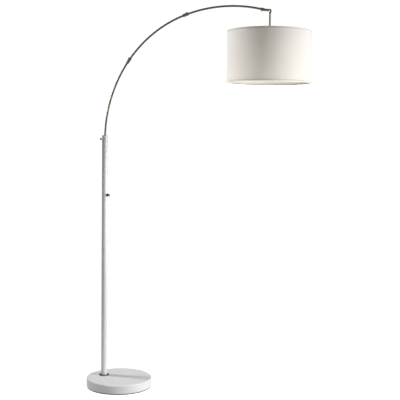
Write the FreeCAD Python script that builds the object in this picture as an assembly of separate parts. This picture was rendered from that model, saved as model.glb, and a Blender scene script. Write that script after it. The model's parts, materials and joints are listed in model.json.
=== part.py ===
"""Arc floor lamp: weighted round base, three-piece pole, three-piece arc arm, hanging drum shade.

Millimetres. +Z is up and z = 0 is the floor, at the centre of the round base. +X is the way the arm
reaches, and the whole centre line of pole, arm and rod lies in the plane y = 0.
"""
import FreeCAD, Part
import math
import os

V = FreeCAD.Vector
X_AXIS = V(1, 0, 0)
Y_AXIS = V(0, 1, 0)
Z_AXIS = V(0, 0, 1)

# ---- driving dimensions ------------------------------------------------------------------------
FIT = 0.05                      # radial clearance of a running fit
SEAT = 0.1                      # gap left between pieces that only rest on or beside each other

# base
BASE_RADIUS = 170.0
BASE_HEIGHT = 47.5
BASE_EDGE_RADIUS = 4.0
SHEET = 1.2                     # cover and pole wall thickness
PAD_RADIUS = 168.0
PAD_THICKNESS = 5.0
WEIGHT_RADIUS = 167.0
WEIGHT_THICKNESS = 20.0
BOSS_RADIUS = 30.0
POLE_X = -90.0                  # the pole stands behind the base centre

# foot of the pole
NIPPLE_RADIUS = 5.0             # M10 hollow threaded nipple
NIPPLE_BORE = 3.5
RECESS_RADIUS = 23.0
RECESS_DEPTH = 32.0
WASHER_THICKNESS = 1.6
NUT_ACROSS_FLATS = 17.0
NUT_THICKNESS = 6.0
FOOT_RING_RADIUS = 27.5
FOOT_RING_THICKNESS = 3.0
PLUG_HEIGHT = 15.0

# cord inlet in the back of the base
INLET_Z = 12.5
INLET_BORE = 3.2
GROMMET_NECK = 4.5
GROMMET_FLANGE = 6.5
GROMMET_LIP = 2.0

# pole
POLE_RADIUS = 16.0
SECTION_LENGTH = 409.5
SECTION_SEAM = 0.5
COUPLER_LENGTH = 70.0
COUPLER_BORE = 11.0
CAP_HEIGHT = 35.0
CAP_SLEEVE = 17.0               # length of the cap that sits inside the pole

# arc arm: three bent tubes of one diameter, then a nearly level end fitting
TUBE_RADIUS = 5.0
TUBE_BORE = 4.0
CURVE_START_DROP = 16.0         # the bend starts this far below the top of the pole cap
STUB_LENGTH = 250.0             # straight foot of the arm, inside the pole
BEND_RADII = (655.0, 625.0, 735.0)
BEND_LENGTHS = (428.0, 387.0, 415.5)
SLEEVE_LENGTH = 32.0
SLEEVE_RADIUS = 8.0
END_COLLAR_LENGTH = 20.0
END_COLLAR_RADIUS = 7.2
END_FITTING_LENGTH = 27.7       # from the end of the arc out to the knuckle axis
END_BAR_RADIUS = 6.2
END_BAR_DROP = 0.5              # axis of the bar below that of the tube, where they meet
END_BAR_SLOPE = 6.0             # degrees downwards
PIVOT_DROP = 6.6                # knuckle axis below the end of the arc
BUSH_RADIUS = 7.0

# thumb screw in the pole cap and rotary switch on the pole
THUMB_Z_BELOW_TOP = 19.0
THUMB_SHANK = 2.5
THUMB_HEAD_START = 21.0
THUMB_HEAD_LENGTH = 8.0
THUMB_HEAD_RADIUS = 6.2
SWITCH_Z = 1004.0
SWITCH_TURN = -15.0             # degrees round the pole from +X
SWITCH_COLLAR_RADIUS = 7.2
SWITCH_COLLAR_END = 28.5        # distances from the pole axis
SWITCH_KNOB_END = 41.5
SWITCH_KNOB_RADIUS = 6.0

# knuckle, rod and shade
EAR_RADIUS = 4.8
EAR_THICKNESS = 3.0
TONGUE_THICKNESS = 6.0
TONGUE_RADIUS = 4.6
KNUCKLE_GAP = 0.15
PIN_RADIUS = 2.0
PIN_HEAD_RADIUS = 4.2
ROD_TOP_DROP = 12.0             # top of the rod below the knuckle axis
SHADE_DIAMETER = 406.4          # 16 in drum
SHADE_HEIGHT = 247.65           # 9.75 in
SHADE_BOTTOM_Z = 1569.5
FABRIC = 0.8
LINING = 0.5
TRIM = 0.4
TRIM_WIDTH = 9.0
WIRE_RADIUS = 1.6
HUB_DROP = 26.0                 # spider hub below the top of the shade
HUB_RADIUS = 16.0
SOCKET_RADIUS = 18.0
SOCKET_HEIGHT = 46.0
SOCKET_CAP_HEIGHT = 16.0
BULB_BASE_RADIUS = 13.0         # E26 screw base
BULB_RADIUS = 30.0              # A19 globe
BULB_LENGTH = 96.0              # from socket mouth to the tip of the globe

LEAD_RADIUS = 2.0
LEAD_BEND_RADIUS = 16.0
ARM_LEAD_RADIUS = 1.75

# ---- worked out from the driving dimensions ----------------------------------------------------
POLE_FOOT_Z = BASE_HEIGHT + FOOT_RING_THICKNESS
POLE_TOP_Z = POLE_FOOT_Z + 3 * SECTION_LENGTH
CAP_TOP_Z = POLE_TOP_Z + CAP_HEIGHT
CURVE_Z = CAP_TOP_Z - CURVE_START_DROP
STUB_Z = CURVE_Z - STUB_LENGTH
POLE_BORE = POLE_RADIUS - SHEET
WEIGHT_Z = PAD_THICKNESS + SEAT
RECESS_TOP_Z = WEIGHT_Z + RECESS_DEPTH
NIPPLE_FOOT_Z = RECESS_TOP_Z - WASHER_THICKNESS - NUT_THICKNESS - 1.5
THUMB_Z = CAP_TOP_Z - THUMB_Z_BELOW_TOP
SHADE_RADIUS = SHADE_DIAMETER / 2
SHADE_TOP_Z = SHADE_BOTTOM_Z + SHADE_HEIGHT
HUB_Z = SHADE_TOP_Z - HUB_DROP
SOCKET_CAP_TOP_Z = HUB_Z - 8.0
SOCKET_TOP_Z = SOCKET_CAP_TOP_Z - SOCKET_CAP_HEIGHT
SOCKET_MOUTH_Z = SOCKET_TOP_Z - SOCKET_HEIGHT
ROD_FOOT_Z = SOCKET_TOP_Z + 4.0


# ---- small builders ----------------------------------------------------------------------------
def rod(radius, z0, z1, x=0.0, y=0.0):
    return Part.makeCylinder(radius, z1 - z0, V(x, y, z0))


def tube(radius, bore, z0, z1, x=0.0, y=0.0):
    return rod(radius, z0, z1, x, y).cut(rod(bore, z0 - 1, z1 + 1, x, y))


def turned(outline, x=0.0, y=0.0):
    """A solid of revolution about a vertical axis from (radius, height) points."""
    points = [V(r, 0, z) for r, z in outline]
    face = Part.Face(Part.makePolygon(points + points[:1]))
    solid = face.revolve(V(0, 0, 0), Z_AXIS, 360)
    solid.translate(V(x, y, 0))
    return solid


def aimed(solid, point, direction):
    """Turn a solid built along +Z so that it runs along direction from point."""
    moved = solid.copy()
    moved.Placement = FreeCAD.Placement(point, FreeCAD.Rotation(Z_AXIS, direction))
    return moved


def eased(solid, size, picks):
    """Round the circular edges whose centre height and radius are listed in picks."""
    chosen = []
    for edge in solid.Edges:
        if not isinstance(edge.Curve, Part.Circle):
            continue
        for radius, height in picks:
            if abs(edge.Curve.Radius - radius) < 0.01 and abs(edge.Curve.Center.z - height) < 0.01:
                chosen.append(edge)
    return solid.makeFillet(size, chosen)


def fluted(radius, z0, z1, count, depth):
    """A grip: a round bar with shallow rounded flutes along it and eased ends."""
    grip = eased(rod(radius, z0, z1), 0.6, [(radius, z0), (radius, z1)])
    flute_radius = 0.5 * math.pi * radius / count
    reach = radius + flute_radius - depth
    for i in range(count):
        angle = 2 * math.pi * i / count
        grip = grip.cut(rod(flute_radius, z0 - 1, z1 + 1, reach * math.cos(angle), reach * math.sin(angle)))
    return grip


def hex_nut(across_flats, bore, z0, z1, x=0.0):
    corner = across_flats / math.sqrt(3)
    corners = [V(x + corner * math.cos(math.radians(60 * i)), corner * math.sin(math.radians(60 * i)), z0)
               for i in range(6)]
    blank = Part.Face(Part.makePolygon(corners + corners[:1])).extrude(V(0, 0, z1 - z0))
    return blank.cut(rod(bore, z0 - 1, z1 + 1, x))


# ---- centre line of the arc arm ----------------------------------------------------------------
def bend_frames():
    """Start point, start heading, bend centre and swept angle of each bent tube, from the pole up."""
    point = V(POLE_X, 0, CURVE_Z)
    heading = 0.0               # radians from +Z towards +X
    frames = []
    for radius, length in zip(BEND_RADII, BEND_LENGTHS):
        centre = point + V(math.cos(heading), 0, -math.sin(heading)) * radius
        angle = length / radius
        frames.append((point, heading, centre, angle))
        heading += angle
        point = centre + V(-math.cos(heading), 0, math.sin(heading)) * radius
    frames.append((point, heading, None, 0.0))
    return frames


FRAMES = bend_frames()
JOINT_3 = FRAMES[3][0]
END_X = JOINT_3.x + END_FITTING_LENGTH
PIVOT = V(END_X, 0, JOINT_3.z - PIVOT_DROP)


def heading_vector(index):
    heading = FRAMES[index][1]
    return V(math.sin(heading), 0, math.cos(heading))


def outward_vector(index):
    """Points away from the bend centre, at the start of a bend."""
    heading = FRAMES[index][1]
    return V(-math.cos(heading), 0, math.sin(heading))


def bent(index, radius, start=0.0, stop=None):
    """A solid round bar along one bend, from arc length start to stop."""
    point, heading, centre, angle = FRAMES[index]
    bend_radius = BEND_RADII[index]
    stop = BEND_LENGTHS[index] if stop is None else stop
    first = heading + start / bend_radius
    at = centre + V(-math.cos(first), 0, math.sin(first)) * bend_radius
    along = V(math.sin(first), 0, math.cos(first))
    face = Part.Face(Part.Wire(Part.makeCircle(radius, at, along)))
    return face.revolve(centre, Y_AXIS, math.degrees((stop - start) / bend_radius))


def across_joint(index, radius, reach):
    """A solid bar that follows both bends that meet at a joint, to reach each side of it."""
    before = bent(index - 1, radius, BEND_LENGTHS[index - 1] - reach, BEND_LENGTHS[index - 1])
    after = bent(index, radius, 0.0, reach)
    return before.fuse(after).removeSplitter()


# ---- base --------------------------------------------------------------------------------------
def base_cover():
    outer = rod(BASE_RADIUS, PAD_THICKNESS, BASE_HEIGHT)
    outer = eased(outer, BASE_EDGE_RADIUS, [(BASE_RADIUS, BASE_HEIGHT)])
    inner_radius = BASE_RADIUS - SHEET
    inner_top = BASE_HEIGHT - SHEET
    inner = rod(inner_radius, PAD_THICKNESS - 1, inner_top)
    inner = eased(inner, BASE_EDGE_RADIUS - SHEET, [(inner_radius, inner_top)])
    shell = outer.cut(inner)
    shell = shell.cut(rod(NIPPLE_RADIUS + 0.2, BASE_HEIGHT - 5, BASE_HEIGHT + 1, POLE_X))
    inlet = aimed(rod(GROMMET_NECK, 0, 20), V(-BASE_RADIUS + 10, 0, INLET_Z), V(-1, 0, 0))
    return shell.cut(inlet)


def base_weight():
    disc = rod(WEIGHT_RADIUS, WEIGHT_Z, WEIGHT_Z + WEIGHT_THICKNESS)
    boss = rod(BOSS_RADIUS, WEIGHT_Z, BASE_HEIGHT - SHEET - SEAT, POLE_X)
    weight = disc.fuse(boss).removeSplitter()
    recess = rod(RECESS_RADIUS, WEIGHT_Z - 1, RECESS_TOP_Z, POLE_X)
    hole = rod(NIPPLE_RADIUS + 0.2, WEIGHT_Z - 1, BASE_HEIGHT, POLE_X)
    channel_width = 16.0
    channel_height = INLET_Z + GROMMET_FLANGE + 1
    channel = Part.makeBox(BASE_RADIUS + POLE_X + 5, channel_width, channel_height)
    channel.translate(V(-BASE_RADIUS - 5, -channel_width / 2, 0))
    return weight.cut(recess).cut(hole).cut(channel)


def base_pad():
    pad = rod(PAD_RADIUS, 0, PAD_THICKNESS)
    return eased(pad, 0.8, [(PAD_RADIUS, 0.0)])


def cord_grommet():
    wall = SHEET + 0.4
    outline = [
        (INLET_BORE, -GROMMET_LIP - 1.0),
        (GROMMET_NECK + 1.2, -GROMMET_LIP - 1.0),
        (GROMMET_NECK + 1.2, -wall + 0.1),
        (GROMMET_NECK - SEAT, -wall + 0.1),
        (GROMMET_NECK - SEAT, 0.2),
        (GROMMET_FLANGE, 0.2),
        (GROMMET_FLANGE, 1.2),
        (GROMMET_FLANGE - 0.8, 0.2 + GROMMET_LIP),
        (INLET_BORE, 0.2 + GROMMET_LIP),
    ]
    return aimed(turned(outline), V(-BASE_RADIUS, 0, INLET_Z), V(-1, 0, 0))


def foot_ring():
    ring = rod(FOOT_RING_RADIUS, BASE_HEIGHT, POLE_FOOT_Z, POLE_X)
    ring = eased(ring, 1.2, [(FOOT_RING_RADIUS, POLE_FOOT_Z)])
    return ring.cut(rod(NIPPLE_RADIUS + 0.2, BASE_HEIGHT - 1, POLE_FOOT_Z + 1, POLE_X))


def base_nipple():
    top = POLE_FOOT_Z + PLUG_HEIGHT - 1
    return tube(NIPPLE_RADIUS, NIPPLE_BORE, NIPPLE_FOOT_Z, top, POLE_X)


def base_washer():
    return tube(14.0, NIPPLE_RADIUS + 0.2, RECESS_TOP_Z - WASHER_THICKNESS, RECESS_TOP_Z, POLE_X)


def base_nut():
    top = RECESS_TOP_Z - WASHER_THICKNESS
    return hex_nut(NUT_ACROSS_FLATS, NIPPLE_RADIUS + FIT, top - NUT_THICKNESS, top, POLE_X)


# ---- pole --------------------------------------------------------------------------------------
def pole_section(index):
    z0 = POLE_FOOT_Z + index * SECTION_LENGTH
    z1 = z0 + SECTION_LENGTH - SECTION_SEAM
    section = tube(POLE_RADIUS, POLE_BORE, z0, z1, POLE_X)
    return eased(section, 0.4, [(POLE_RADIUS, z0), (POLE_RADIUS, z1)])


def pole_upper():
    direction = switch_direction()
    hole = aimed(rod(5.1, 0, 30), V(POLE_X, 0, SWITCH_Z), direction)
    return pole_section(2).cut(hole)


def pole_coupler(index):
    middle = POLE_FOOT_Z + index * SECTION_LENGTH
    z0 = middle - COUPLER_LENGTH / 2
    z1 = middle + COUPLER_LENGTH / 2
    return tube(POLE_BORE - FIT, COUPLER_BORE, z0, z1, POLE_X)


def pole_foot_plug():
    return tube(POLE_BORE - FIT, NIPPLE_RADIUS + FIT, POLE_FOOT_Z, POLE_FOOT_Z + PLUG_HEIGHT, POLE_X)


def pole_cap():
    """Turned collar: a lower bead, a slight waist and a flared lip, on a sleeve inside the pole."""
    bore = BUSH_RADIUS
    z0 = POLE_TOP_Z
    top = CAP_TOP_Z
    outline = [
        (bore, z0 - CAP_SLEEVE),
        (POLE_BORE - FIT, z0 - CAP_SLEEVE),
        (POLE_BORE - FIT, z0),
        (POLE_RADIUS, z0),
        (POLE_RADIUS + 0.5, z0 + 0.7),
        (POLE_RADIUS + 0.5, z0 + 2.4),
        (POLE_RADIUS, z0 + 3.2),
        (POLE_RADIUS - 0.8, z0 + 3.8),
        (POLE_RADIUS - 0.8, top - 7.5),
        (POLE_RADIUS - 0.5, top - 5.8),
        (POLE_RADIUS + 0.1, top - 4.4),
        (POLE_RADIUS + 0.6, top - 3.4),
        (POLE_RADIUS + 0.6, top - 1.2),
        (POLE_RADIUS, top - 0.3),
        (POLE_RADIUS - 1.5, top),
        (bore, top),
    ]
    cap = turned(outline, POLE_X)
    hole = aimed(rod(THUMB_SHANK + FIT, 0, 30), V(POLE_X, 0, THUMB_Z), V(-1, 0, 0))
    return cap.cut(hole)


def arm_bush():
    """Plastic bush that guides the straight foot of the arm and turns with it in the cap."""
    z0 = POLE_TOP_Z - CAP_SLEEVE
    grip_top = CURVE_Z - 1
    outer = BUSH_RADIUS - FIT
    outline = [
        (TUBE_RADIUS + FIT, z0),
        (outer, z0),
        (outer, CAP_TOP_Z + SEAT),
        (outer + 1.0, CAP_TOP_Z + SEAT),
        (outer + 1.0, CAP_TOP_Z + 1.2),
        (outer + 0.2, CAP_TOP_Z + 2.0),
        (TUBE_RADIUS + 0.7, CAP_TOP_Z + 2.0),
        (TUBE_RADIUS + 0.7, grip_top + 2),
        (TUBE_RADIUS + FIT, grip_top),
    ]
    return turned(outline, POLE_X)


def thumb_screw():
    """Fluted head, shoulder and shank, built outwards along +Z from the pole axis."""
    tip = BUSH_RADIUS + 0.3
    shank = rod(THUMB_SHANK, tip, THUMB_HEAD_START)
    shoulder = rod(THUMB_SHANK + 1.3, THUMB_HEAD_START - 2, THUMB_HEAD_START)
    head = fluted(THUMB_HEAD_RADIUS, THUMB_HEAD_START, THUMB_HEAD_START + THUMB_HEAD_LENGTH, 16, 0.45)
    screw = head.fuse(shank).fuse(shoulder).removeSplitter()
    return aimed(screw, V(POLE_X, 0, THUMB_Z), V(-1, 0, 0))


# ---- rotary switch -----------------------------------------------------------------------------
def switch_direction():
    return V(math.cos(math.radians(SWITCH_TURN)), math.sin(math.radians(SWITCH_TURN)), 0)


def at_switch(solid):
    turn = FreeCAD.Rotation(Y_AXIS, 90)
    swing = FreeCAD.Rotation(Z_AXIS, SWITCH_TURN)
    moved = solid.copy()
    moved.Placement = FreeCAD.Placement(V(POLE_X, 0, SWITCH_Z), swing.multiply(turn))
    return moved


def switch_body():
    block = Part.makeBox(24, 17, 13, V(-12, -8.5, -5))
    block = block.makeChamfer(1.0, block.Edges)
    neck = rod(4.9, 7.5, SWITCH_COLLAR_END - 1)
    return at_switch(block.fuse(neck).removeSplitter().cut(rod(2.1, 5, 40)))


def switch_collar():
    """Round nut on the switch neck, with a saddle face that seats on the pole."""
    blank = rod(SWITCH_COLLAR_RADIUS, 12.0, SWITCH_COLLAR_END)
    blank = eased(blank, 0.8, [(SWITCH_COLLAR_RADIUS, SWITCH_COLLAR_END)])
    saddle = aimed(rod(POLE_RADIUS + FIT, -20, 20), V(0, 0, 0), X_AXIS)
    return at_switch(blank.cut(rod(4.95, 0, 40)).cut(saddle))


def switch_knob():
    grip_start = SWITCH_COLLAR_END + 0.5
    grip_end = SWITCH_KNOB_END - 4
    grip = fluted(SWITCH_KNOB_RADIUS, grip_start, grip_end, 20, 0.4)
    cap_outline = [
        (0, grip_end - 0.5),
        (SWITCH_KNOB_RADIUS - 1.0, grip_end - 0.5),
        (SWITCH_KNOB_RADIUS - 1.0, grip_end + 1.6),
        (SWITCH_KNOB_RADIUS - 2.2, grip_end + 3.2),
        (0, SWITCH_KNOB_END),
    ]
    knob = grip.fuse(turned(cap_outline)).removeSplitter()
    return at_switch(knob.cut(rod(2.0, 0, SWITCH_KNOB_END - 6)))


def switch_spindle():
    return at_switch(rod(2.0, 5.5, SWITCH_KNOB_END - 6.1))


# ---- arm ---------------------------------------------------------------------------------------
def arc_tube(index, start=0.15, stop_gap=0.15):
    stop = BEND_LENGTHS[index] - stop_gap
    return bent(index, TUBE_RADIUS, start, stop).cut(bent(index, TUBE_BORE, start - 1, stop + 1))


def arc_lower():
    bend = arc_tube(0, 0.0)
    stub = tube(TUBE_RADIUS, TUBE_BORE, STUB_Z, CURVE_Z, POLE_X)
    return stub.fuse(bend).removeSplitter()


def arm_stop_ring():
    return tube(TUBE_RADIUS + 3.5, TUBE_RADIUS, STUB_Z, STUB_Z + 8, POLE_X)


def sleeve_outline(length, radius):
    """Outer shape of a coupling: a barrel with a step and a bead at each end."""
    half = length / 2
    return [
        (0, -half),
        (radius - 1.6, -half),
        (radius - 0.9, -half + 0.8),
        (radius - 0.9, -half + 5.5),
        (radius - 0.2, -half + 6.2),
        (radius, -half + 7.2),
        (radius, half - 1.2),
        (radius - 1.2, half),
        (0, half),
    ]


def arc_sleeve(index):
    outline = sleeve_outline(SLEEVE_LENGTH, SLEEVE_RADIUS)
    barrel = aimed(turned(outline), FRAMES[index][0], heading_vector(index))
    screw_way = coupling_screw(index, 0.05, 0.0)
    return barrel.cut(across_joint(index, TUBE_RADIUS + 0.02, SLEEVE_LENGTH)).cut(screw_way)


def coupling_screw(index, clearance, head_height):
    """Round-headed set screw through the outer side of a sleeve, near its upper end."""
    shank = rod(1.5 + clearance, TUBE_RADIUS + 0.1, SLEEVE_RADIUS + 1.0)
    screw = shank
    if head_height:
        head = rod(3.0, SLEEVE_RADIUS + 0.1, SLEEVE_RADIUS + 0.1 + head_height)
        head = eased(head, 0.8, [(3.0, SLEEVE_RADIUS + 0.1 + head_height)])
        screw = head.fuse(shank).removeSplitter()
    place = FRAMES[index][0] + heading_vector(index) * (SLEEVE_LENGTH / 2 - 7)
    return aimed(screw, place, outward_vector(index))


def coupling_screws():
    return Part.makeCompound([coupling_screw(1, 0.0, 3.0), coupling_screw(2, 0.0, 3.0)])


def arc_ferrules():
    """Hidden spigots that join each pair of bent tubes from inside."""
    spigots = []
    for index in (1, 2):
        outer = across_joint(index, TUBE_BORE - FIT, 20.0)
        spigots.append(outer.cut(across_joint(index, TUBE_BORE - 0.9, 21.0)))
    return Part.makeCompound(spigots)


def end_collar():
    half = END_COLLAR_LENGTH / 2
    outline = [
        (0, -half),
        (END_COLLAR_RADIUS - 1.0, -half),
        (END_COLLAR_RADIUS, -half + 1.0),
        (END_COLLAR_RADIUS, half - 1.0),
        (END_COLLAR_RADIUS - 1.0, half),
        (0, half),
    ]
    place = JOINT_3 - heading_vector(3) * (half + 0.3)
    collar = aimed(turned(outline), place, heading_vector(3))
    reach = BEND_LENGTHS[2] - END_COLLAR_LENGTH - 5
    collar = collar.cut(bent(2, TUBE_RADIUS + 0.02, reach, BEND_LENGTHS[2] + 5))
    return collar.cut(end_screw_solid(0.05))


def end_screw_solid(clearance):
    shank = rod(1.5 + clearance, TUBE_RADIUS + 0.1, END_COLLAR_RADIUS + 0.2)
    if clearance:
        screw = shank
    else:
        head_start = END_COLLAR_RADIUS + 0.1
        screw = fluted(3.4, head_start, head_start + 4.0, 10, 0.35).fuse(shank).removeSplitter()
    inward = outward_vector(3) * -1
    place = JOINT_3 - heading_vector(3) * (END_COLLAR_LENGTH / 2 + 0.3)
    return aimed(screw, place, inward)


def end_fitting():
    """Spigot in the last tube, a bar that slopes down a little, and a fork at the knuckle axis."""
    start = JOINT_3 - Z_AXIS * END_BAR_DROP
    slope = math.radians(END_BAR_SLOPE)
    along = V(math.cos(slope), 0, -math.sin(slope))
    length = (END_FITTING_LENGTH - EAR_RADIUS + 1.5) / math.cos(slope)
    bar = aimed(rod(END_BAR_RADIUS, 0, length), start, along)
    bar = bar.fuse(Part.makeSphere(END_BAR_RADIUS, start)).removeSplitter()
    tube_side = aimed(Part.makeBox(40, 40, 40, V(-20, -20, -40)), JOINT_3, heading_vector(3))
    bar = bar.cut(tube_side)
    spigot = bent(2, TUBE_BORE - FIT, BEND_LENGTHS[2] - 18, BEND_LENGTHS[2])
    cheek = fork_cheek(TONGUE_THICKNESS + 2 * (KNUCKLE_GAP + EAR_THICKNESS))
    solid = bar.fuse(cheek).fuse(spigot).removeSplitter()
    hole = aimed(rod(PIN_RADIUS + FIT, -20, 20), PIVOT, Y_AXIS)
    return solid.cut(fork_slot()).cut(hole)


def fork_slot():
    """Room for the tongue's eye, and below the knuckle axis for its neck as it swings."""
    width = TONGUE_THICKNESS + 2 * KNUCKLE_GAP
    eye = aimed(rod(TONGUE_RADIUS + 1.2, -width / 2, width / 2), PIVOT, Y_AXIS)
    reach = 9.0
    swing = Part.makeBox(reach + EAR_RADIUS, width, 10.0, V(PIVOT.x - reach, -width / 2, PIVOT.z - 10.0))
    return eye.fuse(swing)


def fork_cheek(span):
    """Rounded block that carries both ears: from the top of the bar down to the knuckle axis."""
    ear = aimed(rod(EAR_RADIUS, -span / 2, span / 2), PIVOT, Y_AXIS)
    bar_fall = END_BAR_DROP + END_FITTING_LENGTH * math.tan(math.radians(END_BAR_SLOPE))
    top = JOINT_3.z - bar_fall + END_BAR_RADIUS
    web = Part.makeBox(2 * EAR_RADIUS, span, top - PIVOT.z, V(PIVOT.x - EAR_RADIUS, -span / 2, PIVOT.z))
    web = web.makeFillet(2.5, [e for e in web.Edges if is_top_edge(e, top)])
    return ear.fuse(web).removeSplitter()


def is_top_edge(edge, top):
    ends = [vertex.Z for vertex in edge.Vertexes]
    return all(abs(z - top) < 0.01 for z in ends)


def knuckle_pin():
    """Screw that joins fork and tongue: head on the -Y side, thread on the +Y side."""
    half = TONGUE_THICKNESS / 2 + KNUCKLE_GAP + EAR_THICKNESS
    shank = rod(PIN_RADIUS, -half - 0.1, half + 5.0)
    head = rod(PIN_HEAD_RADIUS, -half - 2.4, -half - 0.05)
    head = eased(head, 1.0, [(PIN_HEAD_RADIUS, -half - 2.4)])
    slot = Part.makeBox(1.0, 10, 1.0, V(-0.5, -5, -half - 2.9))
    return aimed(head.fuse(shank).removeSplitter().cut(slot), PIVOT, Y_AXIS)


def tilt_nut():
    """Fluted thumb nut on the end of the knuckle screw."""
    start = TONGUE_THICKNESS / 2 + KNUCKLE_GAP + EAR_THICKNESS + 0.3
    nut = fluted(5.6, start, start + 6.5, 14, 0.4)
    return aimed(nut.cut(rod(PIN_RADIUS + FIT, start - 1, start + 5.5)), PIVOT, Y_AXIS)


def arm_lead():
    pieces = [rod(ARM_LEAD_RADIUS, STUB_Z + 2, CURVE_Z, POLE_X)]
    pieces.append(bent(0, ARM_LEAD_RADIUS))
    pieces.append(bent(1, ARM_LEAD_RADIUS))
    pieces.append(bent(2, ARM_LEAD_RADIUS, 0.0, BEND_LENGTHS[2] - 22))
    lead = pieces[0]
    for piece in pieces[1:]:
        lead = lead.fuse(piece)
    return lead.removeSplitter()


# ---- knuckle tongue, rod and lamp holder -------------------------------------------------------
def knuckle_tongue():
    half = TONGUE_THICKNESS / 2
    eye = aimed(rod(TONGUE_RADIUS, -half, half), PIVOT, Y_AXIS)
    neck = Part.makeBox(7.0, TONGUE_THICKNESS, 9.0, V(PIVOT.x - 3.5, -half, PIVOT.z - 9.0))
    collar = rod(TUBE_RADIUS + 0.8, PIVOT.z - ROD_TOP_DROP, PIVOT.z - 8.5, PIVOT.x)
    stud = rod(TUBE_BORE - FIT, PIVOT.z - ROD_TOP_DROP - 12, PIVOT.z - 8.5, PIVOT.x)
    tongue = eye.fuse(neck).fuse(collar).fuse(stud).removeSplitter()
    return tongue.cut(aimed(rod(PIN_RADIUS + FIT, -20, 20), PIVOT, Y_AXIS))


def drop_rod():
    return tube(TUBE_RADIUS, TUBE_BORE, ROD_FOOT_Z, PIVOT.z - ROD_TOP_DROP - SEAT, PIVOT.x)


def rod_lead():
    return rod(ARM_LEAD_RADIUS, SOCKET_TOP_Z + 2, PIVOT.z - ROD_TOP_DROP - 14, PIVOT.x)


def spider_nuts():
    upper = hex_nut(14.0, TUBE_RADIUS + FIT, HUB_Z + 2.1, HUB_Z + 6.1, PIVOT.x)
    lower = hex_nut(14.0, TUBE_RADIUS + FIT, HUB_Z - 4.1, HUB_Z - 0.1, PIVOT.x)
    return Part.makeCompound([upper, lower])


def shade_spider():
    """Pressed hub washer with three wire arms that rise to the top ring."""
    hub = tube(HUB_RADIUS, TUBE_RADIUS + SEAT, HUB_Z, HUB_Z + 2.0, PIVOT.x)
    hub = eased(hub, 0.6, [(HUB_RADIUS, HUB_Z + 2.0)])
    reach = ring_radius() - WIRE_RADIUS - 1.0
    foot = V(HUB_RADIUS - 5, 0, HUB_Z + 1.0)
    knee = V(reach - 22.0, 0, HUB_Z + 1.0)
    tip = V(reach, 0, SHADE_TOP_Z - 4.0)
    arms = []
    for i in range(3):
        turn = FreeCAD.Rotation(Z_AXIS, 120 * i + 60)
        arm = wire_between(foot, knee).fuse(Part.makeSphere(WIRE_RADIUS, knee)).fuse(wire_between(knee, tip))
        arm.Placement = FreeCAD.Placement(V(PIVOT.x, 0, 0), turn)
        arms.append(arm)
    spider = hub.fuse(arms).removeSplitter()
    return spider.cut(rod(TUBE_RADIUS + SEAT, HUB_Z - 5, HUB_Z + 8, PIVOT.x))


def wire_between(start, end):
    return Part.makeCylinder(WIRE_RADIUS, (end - start).Length, start, end - start)


def socket_cap():
    bottom = SOCKET_TOP_Z
    top = SOCKET_CAP_TOP_Z
    outline = [
        (TUBE_RADIUS + FIT, bottom),
        (SOCKET_RADIUS - 1.0, bottom),
        (SOCKET_RADIUS, bottom + 1.0),
        (SOCKET_RADIUS, bottom + 6.0),
        (SOCKET_RADIUS - 2.0, bottom + 10.0),
        (SOCKET_RADIUS - 7.0, top - 2.5),
        (TUBE_RADIUS + 3.0, top),
        (TUBE_RADIUS + FIT, top),
    ]
    return turned(outline, PIVOT.x)


def socket_shell():
    top = SOCKET_TOP_Z - SEAT
    floor = top - 6.0
    outline = [
        (3.0, top),
        (SOCKET_RADIUS - 0.8, top),
        (SOCKET_RADIUS - 0.8, SOCKET_MOUTH_Z + 6.0),
        (SOCKET_RADIUS + 0.6, SOCKET_MOUTH_Z + 5.0),
        (SOCKET_RADIUS + 0.6, SOCKET_MOUTH_Z),
        (BULB_BASE_RADIUS + 1.7, SOCKET_MOUTH_Z),
        (BULB_BASE_RADIUS + 1.7, floor),
        (3.0, floor),
    ]
    return turned(outline, PIVOT.x)


def socket_thread():
    return tube(BULB_BASE_RADIUS + 1.6, BULB_BASE_RADIUS + 0.9, SOCKET_MOUTH_Z + 8, SOCKET_TOP_Z - 7, PIVOT.x)


def socket_contact():
    return rod(2.8, SOCKET_TOP_Z - 8.0, SOCKET_TOP_Z - 1.0, PIVOT.x)


# ---- bulb --------------------------------------------------------------------------------------
def globe_form(inset):
    """A pear-shaped glass body: sphere, then a concave flank up to the neck, less an inset."""
    tip = SOCKET_MOUTH_Z - BULB_LENGTH
    centre = tip + BULB_RADIUS
    radius = BULB_RADIUS - inset
    shoulder_angle = math.radians(38)
    shoulder = V(radius * math.cos(shoulder_angle), 0, centre + radius * math.sin(shoulder_angle))
    neck_radius = BULB_BASE_RADIUS - 0.6 - inset
    neck_z = SOCKET_MOUTH_Z + 6.0
    low = V(0, 0, centre - radius)
    side = V(radius, 0, centre)
    slope = V(-math.sin(shoulder_angle), 0, math.cos(shoulder_angle))
    flank = Part.BezierCurve()
    neck = V(neck_radius, 0, neck_z)
    flank.setPoles([shoulder, shoulder + slope * 26.0, neck - Z_AXIS * 24, neck])
    bowl = Part.Arc(low, V(radius * math.cos(math.pi / 4), 0, centre - radius * math.sin(math.pi / 4)), side)
    turn = V(radius * math.cos(shoulder_angle / 2), 0, centre + radius * math.sin(shoulder_angle / 2))
    upper = Part.Arc(side, turn, shoulder)
    rim = Part.LineSegment(V(neck_radius, 0, neck_z), V(0, 0, neck_z))
    axis = Part.LineSegment(V(0, 0, neck_z), low)
    wire = Part.Wire([piece.toShape() for piece in (bowl, upper, flank, rim, axis)])
    form = Part.Face(wire).revolve(V(0, 0, 0), Z_AXIS, 360)
    form.translate(V(PIVOT.x, 0, 0))
    return form


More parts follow.
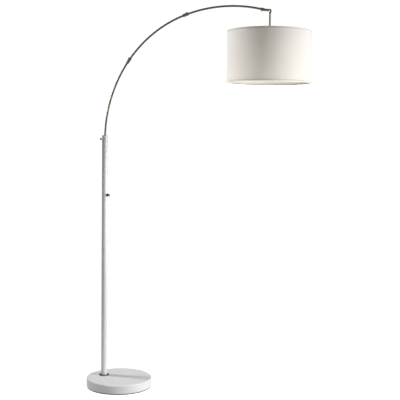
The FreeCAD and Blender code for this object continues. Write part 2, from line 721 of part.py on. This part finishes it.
def bulb_globe():
    """Thin glass, closed at the tip and open at the neck where the screw base is cemented on."""
    inner = globe_form(1.0)
    mouth = rod(BULB_BASE_RADIUS - 1.6, SOCKET_MOUTH_Z + 4, SOCKET_MOUTH_Z + 10, PIVOT.x)
    return globe_form(0.0).cut(inner).cut(mouth)


def bulb_base():
    """Screw base with a rolled thread and a centre contact, cemented over the glass neck."""
    low = SOCKET_MOUTH_Z + 6.2
    turns = 6
    pitch = 3.6
    outline = [(0, low), (BULB_BASE_RADIUS - 0.4, low)]
    for i in range(turns):
        base = low + 1.0 + i * pitch
        outline.append((BULB_BASE_RADIUS - 0.6, base))
        outline.append((BULB_BASE_RADIUS + 0.3, base + pitch / 2))
    top = low + 1.0 + turns * pitch
    outline.append((BULB_BASE_RADIUS - 1.0, top))
    outline.append((5.0, top + 3.0))
    outline.append((5.0, top + 4.5))
    outline.append((0, top + 4.5))
    return turned(outline, PIVOT.x)


# ---- shade -------------------------------------------------------------------------------------
def ring_radius():
    return SHADE_RADIUS - TRIM - FABRIC - LINING - WIRE_RADIUS - SEAT


def shade_fabric():
    outer = SHADE_RADIUS - TRIM
    return tube(outer, outer - FABRIC, SHADE_BOTTOM_Z, SHADE_TOP_Z, PIVOT.x)


def shade_lining():
    outer = SHADE_RADIUS - TRIM - FABRIC
    return tube(outer, outer - LINING, SHADE_BOTTOM_Z, SHADE_TOP_Z, PIVOT.x)


def shade_trim(z0):
    return tube(SHADE_RADIUS, SHADE_RADIUS - TRIM, z0, z0 + TRIM_WIDTH, PIVOT.x)


def shade_ring(z):
    return Part.makeTorus(ring_radius(), WIRE_RADIUS, V(PIVOT.x, 0, z))


# ---- wiring in base and pole -------------------------------------------------------------------
def pole_lead():
    """Sheathed lead from the inlet, along the channel under the weight and up to the switch."""
    inlet_x = -BASE_RADIUS + GROMMET_LIP + 4
    bend = V(POLE_X - LEAD_BEND_RADIUS, 0, INLET_Z + LEAD_BEND_RADIUS)
    run = aimed(rod(LEAD_RADIUS, 0, bend.x - inlet_x), V(inlet_x, 0, INLET_Z), X_AXIS)
    section = Part.Face(Part.Wire(Part.makeCircle(LEAD_RADIUS, V(bend.x, 0, INLET_Z), X_AXIS)))
    elbow = section.revolve(bend, Y_AXIS, -90)
    riser = rod(LEAD_RADIUS, bend.z, SWITCH_Z - 12.5, POLE_X)
    return run.fuse([elbow, riser]).removeSplitter()


# ---- every node, by name -----------------------------------------------------------------------
PARTS = {
    "base_cover": base_cover,
    "base_weight": base_weight,
    "base_pad": base_pad,
    "cord_grommet": cord_grommet,
    "foot_ring": foot_ring,
    "base_nipple": base_nipple,
    "base_washer": base_washer,
    "base_nut": base_nut,
    "pole_lower": lambda: pole_section(0),
    "pole_middle": lambda: pole_section(1),
    "pole_upper": pole_upper,
    "pole_foot_plug": pole_foot_plug,
    "pole_coupler_lower": lambda: pole_coupler(1),
    "pole_coupler_upper": lambda: pole_coupler(2),
    "pole_cap": pole_cap,
    "pole_lead": pole_lead,
    "arm_bush": arm_bush,
    "thumb_screw": thumb_screw,
    "switch_body": switch_body,
    "switch_collar": switch_collar,
    "switch_knob": switch_knob,
    "switch_spindle": switch_spindle,
    "arc_lower": arc_lower,
    "arc_middle": lambda: arc_tube(1),
    "arc_upper": lambda: arc_tube(2),
    "arm_stop_ring": arm_stop_ring,
    "coupling_lower": lambda: arc_sleeve(1),
    "coupling_upper": lambda: arc_sleeve(2),
    "coupling_screws": coupling_screws,
    "arc_ferrules": arc_ferrules,
    "end_collar": end_collar,
    "end_screw": lambda: end_screw_solid(0.0),
    "end_fitting": end_fitting,
    "knuckle_pin": knuckle_pin,
    "tilt_nut": tilt_nut,
    "arm_lead": arm_lead,
    "knuckle_tongue": knuckle_tongue,
    "drop_rod": drop_rod,
    "rod_lead": rod_lead,
    "spider_nuts": spider_nuts,
    "shade_spider": shade_spider,
    "socket_cap": socket_cap,
    "socket_shell": socket_shell,
    "socket_thread": socket_thread,
    "socket_contact": socket_contact,
    "bulb_globe": bulb_globe,
    "bulb_base": bulb_base,
    "shade_fabric": shade_fabric,
    "shade_lining": shade_lining,
    "shade_trim_top": lambda: shade_trim(SHADE_TOP_Z - TRIM_WIDTH),
    "shade_trim_bottom": lambda: shade_trim(SHADE_BOTTOM_Z),
    "shade_ring_top": lambda: shade_ring(SHADE_TOP_Z - 4.0),
    "shade_ring_bottom": lambda: shade_ring(SHADE_BOTTOM_Z + 4.0),
}

os.makedirs("parts", exist_ok=True)
for name, build in PARTS.items():
    build().exportStep("parts/" + name + ".step")
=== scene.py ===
"""Looks for an arc floor lamp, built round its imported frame. Metres, +Z up, z = 0 is the floor."""
import json
import math

import bpy
from mathutils import Matrix, Vector, noise


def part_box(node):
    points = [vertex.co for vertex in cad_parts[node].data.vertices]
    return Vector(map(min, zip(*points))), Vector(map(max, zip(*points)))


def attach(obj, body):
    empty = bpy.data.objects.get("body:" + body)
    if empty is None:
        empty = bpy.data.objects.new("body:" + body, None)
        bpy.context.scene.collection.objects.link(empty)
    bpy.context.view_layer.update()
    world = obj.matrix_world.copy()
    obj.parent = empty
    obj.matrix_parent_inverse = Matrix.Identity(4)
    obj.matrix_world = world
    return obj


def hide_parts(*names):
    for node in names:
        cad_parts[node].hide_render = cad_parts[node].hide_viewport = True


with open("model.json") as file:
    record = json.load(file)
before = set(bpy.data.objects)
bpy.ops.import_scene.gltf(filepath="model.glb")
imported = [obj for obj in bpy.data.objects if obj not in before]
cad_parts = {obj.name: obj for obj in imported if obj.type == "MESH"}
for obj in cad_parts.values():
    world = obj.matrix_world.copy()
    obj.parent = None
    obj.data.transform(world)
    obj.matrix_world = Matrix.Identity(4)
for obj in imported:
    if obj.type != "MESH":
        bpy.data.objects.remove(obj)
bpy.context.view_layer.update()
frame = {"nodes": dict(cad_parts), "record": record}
NODES = frame["nodes"]
SCENE = bpy.context.scene
MM = 0.001
NOISE_LOW, NOISE_HIGH = 0.3, 0.7        # noise textures stay mostly between these

# ---- camera ------------------------------------------------------------------------------------
VIEW_TURN = math.radians(22.23)         # round the lamp, from looking along +Y
VIEW_PITCH = math.radians(4.134)        # downwards
VIEW_ROLL = math.radians(0.724)
VIEW_ACROSS = 0.4143                    # metres to the right of the pole
VIEW_DISTANCE = 4.390                   # metres in front of it
VIEW_HEIGHT = 1.303
LENS = 76.34                            # mm, with a 36 mm sensor

AHEAD = Vector((-math.sin(VIEW_TURN), math.cos(VIEW_TURN), 0))
RIGHT = Vector((math.cos(VIEW_TURN), math.sin(VIEW_TURN), 0))
UP = Vector((0, 0, 1))


def make_camera():
    data = bpy.data.cameras.new("view_camera")
    data.sensor_width = 36
    data.lens = LENS
    data.clip_end = 100
    camera = bpy.data.objects.new("view_camera", data)
    SCENE.collection.objects.link(camera)
    camera.location = RIGHT * VIEW_ACROSS - AHEAD * VIEW_DISTANCE + UP * VIEW_HEIGHT
    looking = AHEAD * math.cos(VIEW_PITCH) - UP * math.sin(VIEW_PITCH)
    turn = looking.to_track_quat("-Z", "Y").to_matrix() @ Matrix.Rotation(VIEW_ROLL, 3, "Z")
    camera.rotation_euler = turn.to_euler()
    SCENE.camera = camera


# ---- nodes -------------------------------------------------------------------------------------
class Finish:
    """A Principled material and short calls for the nodes that drive it."""

    def __init__(self, name, colour, roughness, metallic=0.0, **sockets):
        self.material = bpy.data.materials.new(name)
        self.material.use_nodes = True
        self.tree = self.material.node_tree
        self.shader = self.tree.nodes["Principled BSDF"]
        self.output = self.tree.nodes["Material Output"]
        self.set("Base Color", colour)
        self.set("Roughness", roughness)
        self.set("Metallic", metallic)
        for socket, value in sockets.items():
            self.set(socket.replace("_", " "), value)
        self.place = self.add("ShaderNodeTexCoord").outputs["Object"]

    def set(self, socket, value):
        if isinstance(value, bpy.types.NodeSocket):
            self.tree.links.new(value, self.shader.inputs[socket])
        elif isinstance(value, tuple):
            self.shader.inputs[socket].default_value = (*value, 1.0)
        else:
            self.shader.inputs[socket].default_value = value

    def add(self, kind, inputs=(), **settings):
        node = self.tree.nodes.new(kind)
        for key, value in settings.items():
            setattr(node, key, value)
        for key, value in dict(inputs).items():
            if isinstance(value, bpy.types.NodeSocket):
                self.tree.links.new(value, node.inputs[key])
            else:
                node.inputs[key].default_value = value
        return node

    def math(self, operation, a, b=0.0):
        return self.add("ShaderNodeMath", {0: a, 1: b}, operation=operation).outputs[0]

    def stretched(self, scale, place):
        return self.add("ShaderNodeMapping", {"Vector": place, "Scale": scale}).outputs[0]

    def grain(self, scale, detail, roughness=0.5, place=None):
        """Noise from 0 to 1, with scale blobs to a metre."""
        inputs = {"Vector": place or self.place, "Scale": scale, "Detail": detail, "Roughness": roughness}
        return self.add("ShaderNodeTexNoise", inputs).outputs["Fac"]

    def between(self, value, low, high):
        """Noise spread over low to high."""
        span = {"From Min": NOISE_LOW, "From Max": NOISE_HIGH, "To Min": low, "To Max": high}
        return self.add("ShaderNodeMapRange", {"Value": value, **span}).outputs["Result"]

    def tones(self, value, *colours):
        """A colour from noise, through evenly spaced colours."""
        ramp = self.add("ShaderNodeValToRGB", {"Fac": self.between(value, 0, 1)})
        stops = ramp.color_ramp.elements
        while len(stops) < len(colours):
            stops.new(0.5)
        for i, colour in enumerate(colours):
            stops[i].position = i / (len(colours) - 1)
            stops[i].color = (*colour, 1)
        return ramp.outputs["Color"]

    def relief(self, height, depth):
        """Bumps depth metres high where height goes from 0 to 1."""
        inputs = {"Height": height, "Distance": depth, "Strength": 1.0}
        self.set("Normal", self.add("ShaderNodeBump", inputs).outputs["Normal"])

    def let_through(self, share, colour):
        """Lets that share of the light pass through a thin sheet, tinted by colour."""
        through = self.add("ShaderNodeBsdfTranslucent", {"Color": (*colour, 1)}).outputs[0]
        both = self.add("ShaderNodeMixShader", {0: share, 1: self.shader.outputs[0], 2: through})
        self.tree.links.new(both.outputs[0], self.output.inputs["Surface"])


# ---- finishes ----------------------------------------------------------------------------------
def enamel():
    """White enamel: a fine orange peel and a slight mottle."""
    f = Finish("white_enamel", (0.8, 0.8, 0.79), 0.34, Coat_Weight=0.15, Coat_Roughness=0.22)
    f.set("Base Color", f.tones(f.grain(9, 4), (0.785, 0.785, 0.778), (0.83, 0.83, 0.827)))
    f.set("Roughness", f.between(f.grain(60, 5), 0.31, 0.40))
    f.relief(f.grain(650, 2), 0.02 * MM)
    return f.material


def brushed_metal(name, dark, light, roughness, depth=0.012, scale=260):
    """Metal with a patina that varies slowly, and a fine grain in its roughness and relief.
    depth is in mm, and scale is the grain's blobs to a metre."""
    f = Finish(name, light, roughness, 1.0)
    f.set("Base Color", f.tones(f.grain(14, 6, 0.6), dark, light))
    fine = f.grain(scale, 6, 0.65)
    f.set("Roughness", f.between(fine, roughness * 0.8, roughness * 1.25))
    f.relief(fine, depth * MM)
    return f.material


def moulded(name, dark, light, roughness, depth=0.02, scale=500):
    """Plastic, rubber or paint with a fine grain. depth and scale are as for brushed_metal."""
    f = Finish(name, light, roughness)
    f.set("Base Color", f.tones(f.grain(25, 4), dark, light))
    skin = f.grain(scale, 3)
    f.set("Roughness", f.between(skin, roughness * 0.88, roughness * 1.1))
    f.relief(skin, depth * MM)
    return f.material


def cast_metal():
    f = Finish("cast_iron", (0.06, 0.06, 0.062), 0.75, 0.6)
    rust = (0.13, 0.07, 0.04)
    f.set("Base Color", f.tones(f.grain(40, 6), (0.035, 0.035, 0.037), (0.09, 0.085, 0.08), rust))
    f.set("Roughness", f.between(f.grain(90, 4), 0.6, 0.85))
    f.relief(f.grain(220, 6, 0.6), 0.3 * MM)
    return f.material


def frosted_glass():
    f = Finish("frosted_glass", (0.88, 0.88, 0.86), 0.32, Subsurface_Weight=0.25, Subsurface_Scale=0.004)
    f.set("Base Color", f.tones(f.grain(18, 3), (0.86, 0.86, 0.84), (0.91, 0.91, 0.9)))
    f.set("Roughness", f.between(f.grain(1500, 2), 0.28, 0.38))
    f.relief(f.grain(2500, 2), 0.01 * MM)
    return f.material


METALS = {                              # dark and light tone, roughness, then depth and scale of the grain
    "antique_brass": ((0.105, 0.092, 0.073), (0.15, 0.13, 0.10), 0.36, 0.003, 700),
    "polished_brass": ((0.50, 0.475, 0.42), (0.60, 0.575, 0.515), 0.26, 0.003, 500),
    "dark_bronze": ((0.025, 0.022, 0.017), (0.055, 0.047, 0.036), 0.38),
    "zinc_steel": ((0.48, 0.49, 0.50), (0.62, 0.63, 0.64), 0.32),
    "socket_metal": ((0.25, 0.215, 0.165), (0.33, 0.285, 0.215), 0.34, 0.003, 700),
    "contact_brass": ((0.66, 0.52, 0.30), (0.78, 0.64, 0.40), 0.22),
    "bulb_aluminium": ((0.70, 0.71, 0.72), (0.82, 0.83, 0.84), 0.22),
}
PLASTICS = {                            # the same, for plastic, rubber and paint
    "pad_rubber": ((0.012, 0.012, 0.012), (0.03, 0.03, 0.03), 0.8, 0.05, 700),
    "grommet_rubber": ((0.66, 0.66, 0.64), (0.74, 0.74, 0.72), 0.6),
    "white_wire": ((0.74, 0.74, 0.72), (0.82, 0.82, 0.8), 0.35),
    "socket_plastic": ((0.018, 0.017, 0.016), (0.035, 0.033, 0.031), 0.32),
    "bush_plastic": ((0.03, 0.027, 0.022), (0.06, 0.052, 0.042), 0.45),
    "lead_sheath": ((0.66, 0.64, 0.58), (0.76, 0.74, 0.69), 0.5),
}

THREAD = 0.62 * MM                      # from one thread of the weave to the next
WEAVE_DEPTH = 0.12 * MM
SLUB_LONG, SLUB_ACROSS = 22, 1100       # slubs to a metre, along their thread and across it


def cloth(name, colour, see_through=0.0, through_colour=None):
    """Thin cloth in a plain weave with slubs, laid out by the cloth UV map, which is in metres."""
    f = Finish(name, colour, 0.85, Sheen_Weight=0.12, Sheen_Roughness=0.5)
    flat = f.add("ShaderNodeUVMap", uv_map="cloth").outputs["UV"]
    slub_weft = f.grain(1.0, 3, 0.6, f.stretched((SLUB_LONG, SLUB_ACROSS, 1), flat))
    slub_warp = f.grain(1.0, 3, 0.6, f.stretched((SLUB_ACROSS, SLUB_LONG, 1), flat))
    parts = f.add("ShaderNodeSeparateXYZ", {0: flat}).outputs
    across = f.math("ADD", f.math("MULTIPLY", parts[0], 1 / THREAD), f.math("MULTIPLY", slub_warp, 0.8))
    along = f.math("ADD", f.math("MULTIPLY", parts[1], 1 / THREAD), f.math("MULTIPLY", slub_weft, 0.8))
    warp = over_under(f, across, along, 0.0)
    weft = over_under(f, along, across, 1.0)
    weave = f.math("MAXIMUM", warp, weft)
    slubs = f.math("ADD", f.math("MULTIPLY", slub_weft, 0.6), f.math("MULTIPLY", slub_warp, 0.4))
    # Slubs give the yarn's own tone. The weave term darkens the gaps between threads, which is painted
    # shade.
    shade = f.math("ADD", f.math("MULTIPLY", slubs, 0.7), f.math("MULTIPLY", weave, 0.3))
    dark = tuple(c * k for c, k in zip(colour, (0.90, 0.885, 0.86)))
    f.set("Base Color", f.tones(shade, dark, colour))
    f.relief(f.math("ADD", weave, f.math("MULTIPLY", slubs, 1.5)), WEAVE_DEPTH)
    if see_through:
        f.let_through(see_through, through_colour)
    return f.material


def over_under(f, across, along, shift):
    """Height of one set of threads: round across each thread, and up and down along it."""
    round_top = f.math("ABSOLUTE", f.math("SINE", f.math("MULTIPLY", across, math.pi)))
    step = f.math("ADD", f.math("ADD", along, f.math("FLOOR", across)), shift)
    rise = f.math("COSINE", f.math("MULTIPLY", step, math.pi))
    rise = f.math("ADD", f.math("MULTIPLY", rise, 0.5), 0.5)
    return f.math("MULTIPLY", round_top, rise)


def liner():
    """White styrene film: satin, with a faint ripple, that lets some light through."""
    f = Finish("shade_liner", (0.86, 0.85, 0.835), 0.38)
    f.set("Base Color", f.tones(f.grain(12, 4), (0.84, 0.83, 0.815), (0.88, 0.87, 0.855)))
    f.set("Roughness", f.between(f.grain(40, 3), 0.34, 0.44))
    f.relief(f.grain(300, 3), 0.02 * MM)
    f.let_through(0.45, (0.90, 0.88, 0.84))
    return f.material


FINISHES = {
    "white_enamel": enamel(),
    "cast_iron": cast_metal(),
    "frosted_glass": frosted_glass(),
    "linen": cloth("linen", (0.905, 0.90, 0.895), 0.4, (0.95, 0.925, 0.875)),
    # The rolled rim strips: the same linen with its colour painted darker as painted shade. They let no
    # light through.
    "linen_rim_painted_shade": cloth("linen_rim_painted_shade", (0.66, 0.63, 0.585)),
    # The cloth turned in over the rims: the same linen painted lighter, as painted light from inside the
    # shade.
    "linen_turned_painted_light": cloth("linen_turned_painted_light", (0.94, 0.925, 0.90), 0.3, (0.95, 0.93, 0.88)),
    "shade_liner": liner(),
}
FINISHES.update((name, brushed_metal(name, *look)) for name, look in METALS.items())
FINISHES.update((name, moulded(name, *look)) for name, look in PLASTICS.items())


def finish_cad_nodes():
    for part in frame["record"]["subparts"]:
        materials = NODES[part["node"]].data.materials
        finish = FINISHES[part["material_slot"]]
        materials.clear()
        materials.append(finish)


# ---- shade -------------------------------------------------------------------------------------
def outer_radius(node):
    low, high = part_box(node)
    return (high.x - low.x) / 2


SHADE_LOW, SHADE_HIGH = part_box("shade_trim_bottom")[0].z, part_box("shade_trim_top")[1].z
SHADE_X = (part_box("shade_fabric")[0].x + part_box("shade_fabric")[1].x) / 2
TRIM_R = outer_radius("shade_trim_top")
FABRIC_R = outer_radius("shade_fabric")
LINING_R = outer_radius("shade_lining")
RING_R = outer_radius("shade_ring_top")
TURNED_R = TRIM_R - 2.6 * MM            # a roll's cloth inside this radius is turned in and is painted lighter there, as painted light
SEAM_AT = math.radians(118)             # the shade's seam, at its back
SEAM_CUTS = (-1.5, -0.6, -0.2, 0.0, 0.15, 0.3, 0.45, 0.6, 0.9, 1.5)     # mm from the lap's edge
LAP = 10 * MM                           # width of the glued lap
LAP_RISE = 0.6 * MM                     # width of the step at the lap's edge
LEAST_STEP = 0.08 * MM                  # between neighbouring points round a band
STRIP = 0.4 * MM                        # thickness of the strips on the rims
RIM_GAP = 0.45 * MM                     # room for a strip over each rim


def smoothed(t):
    t = min(1.0, max(0.0, t))
    return t * t * (3 - 2 * t)


def lap_height(turn, radius, thickness):
    """How far the lap stands out: a step at its edge that falls away to nothing beyond it."""
    s = ((turn - SEAM_AT + math.pi) % (2 * math.pi) - math.pi) * radius
    if s < 0 or s > 3 * LAP:
        return 0.0
    return thickness * smoothed(s / LAP_RISE) * (1 - smoothed((s - LAP) / (2 * LAP)))


def turns_round(count, radius):
    """Angles round the shade, closer together at the seam."""
    angles = {2 * math.pi * i / count for i in range(count)}
    for s in SEAM_CUTS:
        angles.add((SEAM_AT + s * MM / radius) % (2 * math.pi))
    ordered = sorted(angles)
    kept = [ordered[0]]
    for angle in ordered[1:]:
        if (angle - kept[-1]) * radius > LEAST_STEP:
            kept.append(angle)
    return kept


def shade_wave(turn, z):
    """How far the drum is from true: a little out of round, and pulled in slightly between its rings."""
    up = (z - SHADE_LOW) / (SHADE_HIGH - SHADE_LOW)
    bow = 4 * up * (1 - up)
    lobes = 0.35 * math.cos(2 * turn + 0.7) + 0.22 * math.cos(3 * turn + 2.1) + 0.10 * math.cos(7 * turn)
    ripple = 0.25 * noise.noise(Vector((math.cos(turn) * 2.2, math.sin(turn) * 2.2, up * 1.3)))
    return (lobes * (0.45 + 0.55 * bow) - 0.5 * bow + ripple * bow) * MM


def drum_band(name, profile, finish, count=480, lap=0.0, pucker=0.0, inner_painted_light=None):
    """A band round the shade's axis with the closed profile, which is a list of (radius, height) points.
    lap is the step at the seam, and pucker is the depth of the gathers in the cloth inside."""
    turns = turns_round(count, TRIM_R)
    lengths = [0.0]
    for (r0, z0), (r1, z1) in zip(profile, profile[1:] + profile[:1]):
        lengths.append(lengths[-1] + math.hypot(r1 - r0, z1 - z0))
    middle = sum(r for r, _ in profile) / len(profile)
    points, faces, flats = [], [], []
    for turn in turns:
        for r, z in profile:
            outer = smoothed((r - middle) / (0.3 * MM))
            reach = r + shade_wave(turn, z) + outer * lap_height(turn, TRIM_R, lap)
            if pucker:
                spot = Vector((turn * TRIM_R / (6 * MM), z / (9 * MM), 3.0))
                reach += pucker * (1 - outer) * noise.noise(spot)
            points.append((SHADE_X + reach * math.cos(turn), reach * math.sin(turn), z))
    size = len(profile)
    for i in range(len(turns)):
        j = (i + 1) % len(turns)
        next_turn = turns[j] if j else 2 * math.pi
        for k in range(size):
            m = (k + 1) % size
            faces.append((i * size + k, j * size + k, j * size + m, i * size + m))
            u0, u1 = turns[i] * TRIM_R, next_turn * TRIM_R
            v0, v1 = lengths[k], lengths[k + 1]
            flats.extend(((u0, v0), (u1, v0), (u1, v1), (u0, v1)))
    mesh = bpy.data.meshes.new(name)
    mesh.from_pydata(points, [], faces)
    layer = mesh.uv_layers.new(name="cloth")
    for loop, flat in zip(layer.data, flats):
        loop.uv = flat
    mesh.update()
    for face in mesh.polygons:
        face.use_smooth = True
    mesh.materials.append(FINISHES[finish])
    if inner_painted_light:
        mesh.materials.append(FINISHES[inner_painted_light])
        # Faces of the turned-in cloth get the second material, the linen painted lighter: painted light.
        for face in mesh.polygons:
            k = face.index % size
            middle_r = (profile[k][0] + profile[(k + 1) % size][0]) / 2
            face.material_index = int(middle_r < TURNED_R)
    made = bpy.data.objects.new(name, mesh)
    SCENE.collection.objects.link(made)
    return made


def wall_profile(outer, thickness, low, high, steps):
    """A thin upright wall with eased edges, anticlockwise from its outer foot."""
    ease = thickness * 0.35
    heights = [low + ease] + [low + (high - low) * i / steps for i in range(1, steps)] + [high - ease]
    out = [(outer, z) for z in heights]
    inn = [(outer - thickness, z) for z in reversed(heights)]
    top = [(outer - ease, high), (outer - thickness + ease, high)]
    foot = [(outer - thickness + ease, low), (outer - ease, low)]
    return out + top + inn + foot


def rolled_profile(edge, inwards):
    """The strip rolled over a rim: outer leg, rounded edge, inner leg over the wire ring.
    edge is the rim's height, and inwards is -1 at the top rim and +1 at the bottom one."""
    ring = RING_R - 3.6 * MM            # inner side of the wire ring, less the cloth's slack
    corner = 1.1 * MM
    curl = 2.0 * MM
    leg = TRIM_R - STRIP / 2
    line = [(leg, edge + inwards * z * MM) for z in (9.0, 7.5, 6.0, 4.5, 3.0, 1.6)]
    bend = (leg - corner, edge + inwards * (corner + STRIP / 2))
    for i in range(1, 6):
        angle = math.pi / 2 * i / 5
        line.append((bend[0] + corner * math.cos(angle), bend[1] - inwards * corner * math.sin(angle)))
    line.append((TRIM_R - 2.2 * MM, edge + inwards * 0.28 * MM))
    line.append((TRIM_R - 3.1 * MM, edge + inwards * 0.75 * MM))
    hub = (ring + 1.9 * MM, edge + inwards * 4.0 * MM)
    for i in range(7):
        angle = math.radians(118 + 118 * i / 6)
        line.append((hub[0] + curl * math.cos(angle), hub[1] - inwards * curl * math.sin(angle)))
    line.append((LINING_R - 1.6 * MM, edge + inwards * 6.6 * MM))
    line.append((LINING_R - 0.8 * MM, edge + inwards * 8.0 * MM))
    return thick_line(line)


def thick_line(line):
    """The closed outline of the strip that runs along line."""
    left, right = [], []
    for i, point in enumerate(line):
        before, after = line[max(0, i - 1)], line[min(len(line) - 1, i + 1)]
        along = Vector((after[0] - before[0], after[1] - before[1])).normalized()
        side = Vector((-along.y, along.x)) * STRIP / 2
        left.append((point[0] + side.x, point[1] + side.y))
        right.append((point[0] - side.x, point[1] - side.y))
    return left + right[::-1]


def make_shade():
    low, high = SHADE_LOW + RIM_GAP, SHADE_HIGH - RIM_GAP
    cloth_wall = wall_profile(FABRIC_R, FABRIC_R - LINING_R, low, high, 60)
    liner_wall = wall_profile(LINING_R - 0.02 * MM, 0.46 * MM, low, high, 24)
    roll = {"count": 720, "lap": 0.3 * MM, "pucker": 0.35 * MM, "inner_painted_light": "linen_turned_painted_light"}
    linen = drum_band("shade_linen", cloth_wall, "linen", lap=0.35 * MM)
    skin = drum_band("shade_liner_skin", liner_wall, "shade_liner")
    # The rolls are painted darker outside (painted shade) and lighter on their turned-in cloth (painted
    # light).
    top = drum_band("shade_roll_top", rolled_profile(SHADE_HIGH, -1), "linen_rim_painted_shade", **roll)
    foot = drum_band("shade_roll_bottom", rolled_profile(SHADE_LOW, 1), "linen_rim_painted_shade", **roll)
    for piece, node, slot in (
        (linen, "shade_fabric", "linen"),
        (skin, "shade_lining", "shade_liner"),
        (top, "shade_trim_top", "linen"),
        (foot, "shade_trim_bottom", "linen"),
    ):
        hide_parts(node)
        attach(piece, "head")


# ---- floor and light ---------------------------------------------------------------------------
ROOM_LIGHT = 0.14
ROOM_REFLECTED = 0.48
BACKDROP = 1.05
FLOOR_HALF = 14.0
FLOOR_GLOW = 0.98
WHITE = (1.0, 1.0, 1.0)
WARM = (1.0, 0.95, 0.84)


def make_floor():
    corners = [(x * FLOOR_HALF, y * FLOOR_HALF, 0) for x, y in ((-1, -1), (1, -1), (1, 1), (-1, 1))]
    mesh = bpy.data.meshes.new("studio_floor")
    mesh.from_pydata(corners, [], [(0, 1, 2, 3)])
    floor = bpy.data.objects.new("studio_floor", mesh)
    SCENE.collection.objects.link(floor)
    f = Finish("studio_floor", (0.3, 0.3, 0.3), 0.9)
    f.set("Base Color", f.tones(f.grain(3, 2), (0.29, 0.29, 0.29), (0.31, 0.31, 0.31)))
    f.set("Emission Color", WHITE)
    f.set("Emission Strength", FLOOR_GLOW)
    mesh.materials.append(f.material)
    floor.visible_diffuse = False
    floor.visible_glossy = False


def place_light(name, data, place, target):
    light = bpy.data.objects.new(name, data)
    SCENE.collection.objects.link(light)
    light.location = place
    light.visible_camera = False
    light.rotation_euler = (Vector(target) - light.location).to_track_quat("-Z", "Y").to_euler()


def softbox(name, place, target, width, height, power, spread=180):
    """A rectangular soft light of power watts, whose light spreads over that many degrees."""
    data = bpy.data.lights.new(name, "AREA")
    data.spread = math.radians(spread)
    data.shape = "RECTANGLE"
    data.size, data.size_y = width, height
    data.energy = power
    place_light(name, data, place, target)


def soft_spot(name, place, target, cone, radius, power, blend=0.4, colour=WHITE):
    """A round soft light whose cone, in degrees, takes in only what it is aimed at."""
    data = bpy.data.lights.new(name, "SPOT")
    data.color = colour
    data.spot_size = math.radians(cone)
    data.spot_blend = blend
    data.shadow_soft_size = radius
    data.energy = power
    place_light(name, data, place, target)


def round_lamp(turn, distance, height, centre=0.35):
    """A place round the lamp: turn is in degrees from the camera's side, towards its right."""
    a = math.radians(turn)
    flat = RIGHT * math.sin(a) - AHEAD * math.cos(a)
    return Vector((centre, 0, 0)) + flat * distance + UP * height


def make_world():
    """A dim room for diffuse light, a brighter one in reflections, and a white backdrop for the camera."""
    world = bpy.data.worlds.new("studio")
    SCENE.world = world
    world.use_nodes = True
    tree = world.node_tree
    path = tree.nodes.new("ShaderNodeLightPath")
    shader = tree.nodes["Background"]
    shader.inputs["Color"].default_value = (1, 1, 1, 1)
    shader.inputs["Strength"].default_value = ROOM_LIGHT
    for ray, strength in (("Is Glossy Ray", ROOM_REFLECTED), ("Is Camera Ray", BACKDROP)):
        seen = tree.nodes.new("ShaderNodeBackground")
        seen.inputs["Color"].default_value = (1, 1, 1, 1)
        seen.inputs["Strength"].default_value = strength
        mix = tree.nodes.new("ShaderNodeMixShader")
        tree.links.new(path.outputs[ray], mix.inputs[0])
        tree.links.new(shader.outputs[0], mix.inputs[1])
        tree.links.new(seen.outputs[0], mix.inputs[2])
        shader = mix
    tree.links.new(shader.outputs[0], tree.nodes["World Output"].inputs["Surface"])


def make_light():
    SCENE.view_settings.view_transform = "Standard"
    SCENE.cycles.use_denoising = True
    make_world()
    shade = Vector((SHADE_X, 0, (SHADE_LOW + SHADE_HIGH) / 2))
    under_shade = (SHADE_X, 0, SHADE_LOW - 0.05)
    base = Vector((0, 0, 0.03))
    softbox("key_right", round_lamp(75, 4.0, 1.5), (0.35, 0, 1.1), 1.7, 3.4, 184)
    softbox("top", (0.2, 0, 3.6), (0.1, 0, 0), 1.6, 1.6, 3)
    softbox("floor_bounce", (0.35, 0, 0.003), (0.35, 0, 1), 3.0, 3.0, 11.5)
    softbox("shade_below", (SHADE_X, 0, 1.0), shade, 0.4, 0.4, 2.8, 70)
    soft_spot("shade_left", round_lamp(-100, 2.4, 1.8, SHADE_X), shade, 22, 0.2, 212)
    soft_spot("shade_front", round_lamp(0, 3.0, 0.6, SHADE_X), under_shade, 16, 0.2, 180, 1.0, WARM)
    soft_spot("base_left", round_lamp(-103, 1.15, 3.7, 0), base, 13, 0.17, 225)
    soft_spot("base_side", round_lamp(-52, 3.0, 0.25, 0), base, 9, 0.3, 20)
    soft_spot("base_front", round_lamp(20, 1.5, 2.6, 0), base, 17, 0.3, 30)
    soft_spot("pole_front", round_lamp(52, 3.0, 1.4, -0.09), (-0.09, 0, 0.95), 17, 0.3, 95, 0.8)


make_camera()
finish_cad_nodes()
make_shade()
make_floor()
make_light()
